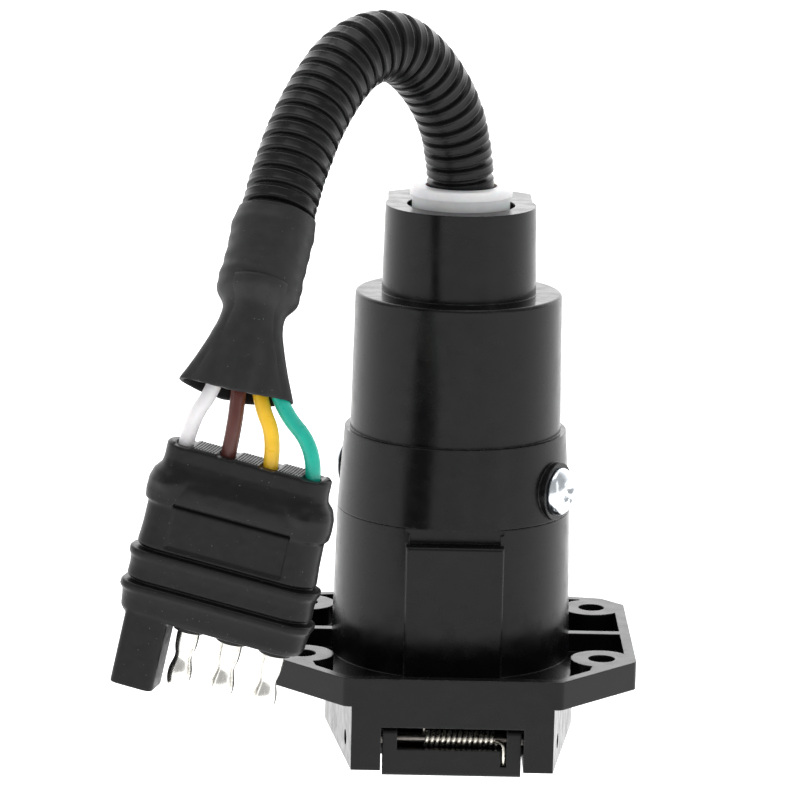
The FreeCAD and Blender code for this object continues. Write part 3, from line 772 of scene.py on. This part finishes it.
def bake_modifiers(obj):
    """The object's modifiers become its mesh."""
    bpy.context.view_layer.update()
    graph = bpy.context.evaluated_depsgraph_get()
    mesh = bpy.data.meshes.new_from_object(obj.evaluated_get(graph))
    obj.modifiers.clear()
    old = obj.data
    obj.data = mesh
    bpy.data.meshes.remove(old)


def slab_mesh(name, half_w, half_t, corner, z0, z1, x=0.0, y=0.0):
    """An upright bar with round corners, from z0 up to z1."""
    rings = [rounded_slab(half_w, half_t, corner, z, 64) for z in (z0, z1)]
    rings = [[v + Vector((x, y, 0)) for v in ring] for ring in rings]
    return mesh_object(name, *loft(rings))


def remove(objects):
    for obj in objects:
        bpy.data.objects.remove(obj, do_unlink=True)


def plug_cuts():
    """Bore, pin holes, wire holes and channels, and the sunk panel of both faces."""
    far_above, far_below = 2.0, -60.0
    cuts = [slab_mesh("bore", 3.3, 3.3, 3.3, far_below, -34.0, POST_X)]
    for x in CONTACT_ROW[1:]:
        cuts.append(slab_mesh("pin_hole", 2.42, 2.42, 2.4, far_below, -30.0, x))
    for x in CONTACT_ROW:
        cuts.append(slab_mesh("channel", 1.9, 9.0, 0.3, -0.45, far_above, x))
        cuts.append(slab_mesh("wire_hole", 1.7, 1.7, 1.65, WIRE_SEAT - 0.2, far_above, x, WIRE_SEAT_Y))
    for side in (-1, 1):
        y = side * (PANEL_FACE_Y + 2.0)
        cuts.append(slab_mesh("panel", PANEL_HALF_WIDTH, 2.0, 0.4, -22.4, -12.8, 0.0, y))
        y = side * (PANEL_GROOVE_Y + 1.0)
        cuts.append(slab_mesh("panel_groove", PANEL_HALF_WIDTH, 1.0, 0.3, -13.4, -12.6, 0.0, y))
    return cuts


def make_plug_body():
    """Overmoulded body: bulging shoulders, two ridges, a sunk panel, a shrouded post and scallops."""
    voxel = 0.26
    corner = 4.7
    rings = [rounded_slab(half_w, half_t, corner, z) for half_w, half_t, z in reversed(PLUG_STATIONS)]
    body = mesh_object("plug_moulding", *loft(rings))
    adds = [slab_mesh("post", 4.75, 5.0, 1.6, -54.0, -34.0, POST_X)]
    for x in CONTACT_ROW[1:]:
        adds.append(slab_mesh("scallop", 3.5, 3.5, 3.4, -39.7, -35.0, x))
    cuts = plug_cuts()
    for piece in adds:
        boolean(body, piece, "UNION")
    for piece in cuts:
        boolean(body, piece, "DIFFERENCE")
    bake_modifiers(body)
    remove(adds + cuts)
    remesh = body.modifiers.new("even", "REMESH")
    remesh.mode = "VOXEL"
    remesh.voxel_size = voxel * MM
    soften = body.modifiers.new("soften", "SMOOTH")
    soften.factor = 0.5
    soften.iterations = 4
    bake_modifiers(body)
    body.data.polygons.foreach_set("use_smooth", [True] * len(body.data.polygons))
    sculpt_plug(body)
    body.data.transform(scaled(plug_matrix()))
    return body


def sculpt_plug(body):
    """Corner bulges with a soft hollow between them, and a hand-trimmed moulding's uneven skin."""
    bulge_height, hollow_depth, unevenness = 1.35, 0.4, 0.05
    for vertex in body.data.vertices:
        p = vertex.co / MM
        rise = unevenness * noise.noise(p * 0.5)
        for x in (-SHOULDER_BULGE_X, SHOULDER_BULGE_X):
            away = math.hypot((p.x - x) / 2.6, (p.z + 8.4) / 2.0)
            rise += bulge_height * math.exp(-(away**2))
        away = math.hypot(p.x / 11.0, (p.z + 9.6) / 2.6)
        rise -= hollow_depth * math.exp(-(away**4))
        on_face = smoothstep(2.5, 4.5, abs(p.y))
        vertex.co.y += math.copysign(rise * on_face, p.y) * MM


def scaled(matrix):
    """A placement in millimetres, for a mesh that is already in metres."""
    moved = matrix.copy()
    moved.translation = matrix.translation * MM
    return moved


def make_pad_hatch():
    """Fine ribs across the plug's top pads, between the wires."""
    pad_end = 17.0
    channel_half = 1.9
    pitch, width, height, foot = 0.62, 0.34, 0.16, -0.08
    starts = [-pad_end] + [x + channel_half for x in CONTACT_ROW]
    ends = [x - channel_half for x in CONTACT_ROW] + [pad_end]
    section = [(-width / 2, foot), (width / 2, foot), (width / 4, height), (-width / 4, height)]
    verts, faces = [], []
    for x0, x1 in zip(starts, ends):
        count = int((x1 - x0 - 0.3) / pitch)
        first = (x0 + x1 - (count - 1) * pitch) / 2
        for k in range(count):
            x = first + k * pitch
            # shorter where the body's corners are round
            half_y = 3.9 if abs(x) < 15.5 else 2.6
            rings = [[Vector((x + dx, y, z)) for dx, z in section] for y in (-half_y, half_y)]
            rib_verts, rib_faces = loft(rings)
            faces += [tuple(len(verts) + i for i in face) for face in rib_faces]
            verts += rib_verts
    hatch = mesh_object("plug_pad_ribs", verts, faces, smooth=False)
    hatch.data.transform(scaled(plug_matrix()))
    return hatch


def turned_mesh(name, profile, around=48):
    """A solid of revolution about Z from (radius, height) points."""
    rings = []
    for radius, z in profile:
        ring = []
        for i in range(around):
            angle = 2 * math.pi * i / around
            ring.append(Vector((radius * math.cos(angle), radius * math.sin(angle), z)))
        rings.append(ring)
    return mesh_object(name, *loft(rings))


def make_flat_pin(colour, x):
    """Bullet contact, from its blunt tip up: bulb, drawn-in waist and barrel with a fine bead."""
    profile = [
        (0.5, -53.2), (1.3, -53.0), (2.0, -52.3), (2.45, -51.2), (2.6, -50.0), (2.6, -48.9),
        (2.5, -48.1), (2.2, -47.1), (1.9, -46.0), (1.86, -45.3), (1.95, -44.7), (2.2, -43.9),
        (2.38, -43.0), (2.4, -41.6), (2.46, -41.3), (2.46, -40.9), (2.4, -40.6), (2.4, -30.0),
    ]
    pin = turned_mesh("bullet_pin_" + colour, profile)
    pin.data.transform(scaled(plug_matrix() @ Matrix.Translation((x, 0, 0))))
    smooth = pin.modifiers.new("round", "SUBSURF")
    smooth.levels = 1
    smooth.render_levels = 1
    return pin


# ---- cap screws ----


def make_cap_screws():
    """The two cross-head screws: domed heads with a tapered cross recess."""
    profile = [
        (2.2, -7.6), (2.2, -0.1), (5.3, -0.02), (5.45, 0.1), (5.5, 0.35), (5.45, 0.75), (5.2, 1.2),
        (4.75, 1.7), (4.1, 2.2), (3.3, 2.6), (2.4, 2.86), (1.4, 2.98), (0.6, 3.0),
    ]
    # height, half length and half width of the recess at its bottom and above the head
    recess = ((1.0, 1.3, 0.28), (3.4, 2.9, 0.8))
    screws = []
    for turn, cross_angle in CROSS_ANGLES.items():
        screw = turned_mesh("cap_screw_part", profile, 72)
        arms = []
        for angle in (0, 90):
            rings = []
            for z, x, y in recess:
                rings.append([Vector(p) for p in ((x, -y, z), (x, y, z), (-x, y, z), (-x, -y, z))])
            arm = mesh_object("recess_arm", *loft(rings))
            arm.data.transform(Matrix.Rotation(math.radians(angle), 4, "Z"))
            arms.append(arm)
        for arm in arms:
            boolean(screw, arm, "DIFFERENCE")
        bake_modifiers(screw)
        remove(arms)
        spin = Matrix.Rotation(math.radians(cross_angle), 4, "Z")
        lay_over = Matrix.Rotation(math.radians(90), 4, "Y")
        aim = Matrix.Rotation(math.radians(CAP_SCREW_ANGLE + turn), 4, "Z")
        out = Matrix.Translation((CAP_BOSS_FACE, 0, CAP_SCREW_Z))
        screw.data.transform(scaled(aim @ out @ lay_over @ spin))
        screws.append(screw)
    return join("cross_head_screws", screws)


def join(name, objects):
    """One object from the meshes of several."""
    bm = bmesh.new()
    for obj in objects:
        bm.from_mesh(obj.data)
    mesh = bpy.data.meshes.new(name)
    bm.to_mesh(mesh)
    bm.free()
    remove(objects)
    return link(bpy.data.objects.new(name, mesh))


# ---- lid spring ----


def make_spring():
    """Torsion spring: thirteen turns round the pin, one leg on the housing and one in the lid's slot."""
    per_turn = 20
    turns = SPRING_TURNS + 0.5
    x0 = SPRING_X0 + SPRING_WIRE_R
    x1 = SPRING_X1 - SPRING_WIRE_R
    # back leg, up into the housing
    points = [Vector((x0, HINGE_Y + SPRING_COIL_R, HINGE_Z + up)) for up in (7.0, 4.5, 2.0)]
    count = int(turns * per_turn)
    for k in range(count + 1):
        angle = 2 * math.pi * turns * k / count
        x = x0 + (x1 - x0) * k / count
        y = HINGE_Y + SPRING_COIL_R * math.cos(angle)
        z = HINGE_Z - SPRING_COIL_R * math.sin(angle)
        points.append(Vector((x, y, z)))
    # front leg, out and down along the lid's front
    points.append(Vector((SPRING_X1, HINGE_Y - 2.6, HINGE_Z + 0.1)))
    points.append(Vector((SPRING_LEG_X - 0.3, SPRING_LEG_Y + 0.5, HINGE_Z)))
    for down in (0.7, 2.6, 4.8):
        points.append(Vector((SPRING_LEG_X, SPRING_LEG_Y, HINGE_Z - down)))
    path = Path(points, (0, 1, 0.2))
    around = 14
    rings = []
    for place, tangent, side in zip(points, path.tangents, path.sides):
        third = tangent.cross(side)
        ring = []
        for k in range(around):
            angle = 2 * math.pi * k / around
            ring.append(place + (side * math.cos(angle) + third * math.sin(angle)) * SPRING_WIRE_R)
        rings.append(ring)
    return mesh_object("torsion_spring", *loft(rings))


# ---- assembly ----


place_camera()
build_stage()
dress_cad_nodes()

loom_line = nurbs("loom_line", LOOM_ROUTE)
loom_path = Path(line_of(loom_line), (1, 0, 0))
loom = finish_piece(make_loom(loom_path), "root", "loom_plastic", "loom")
remove([loom_line])

sleeve = finish_piece(make_sleeve(loom_path), "root", "shrink_sleeve", "heat_shrink_sleeve")

plug = finish_piece(make_plug_body(), "root", "plug_rubber", "flat_plug_body")
hatch = finish_piece(make_pad_hatch(), "root", "plug_rubber")
for colour, pin_x in zip(WIRES[1:], CONTACT_ROW[1:]):
    pin = make_flat_pin(colour, pin_x)
    finish_piece(pin, "root", "contact_nickel", "flat_pin_" + colour)

finish_piece(make_cap_screws(), "root", "zinc_screw", "cap_screws")

for index, colour in enumerate(WIRES):
    wire = nurbs("lead_out_" + colour, wire_route(loom_path, index))
    wire.data.bevel_depth = WIRE_D / 2 * MM
    wire.data.bevel_resolution = 8
    wire.data.use_fill_caps = True
    finish_piece(wire, "root", "insulation_" + colour, "wire_" + colour)

spring = make_spring()
spring.data.materials.append(MATERIALS["spring_steel"])
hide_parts("lid_spring")
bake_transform(spring)
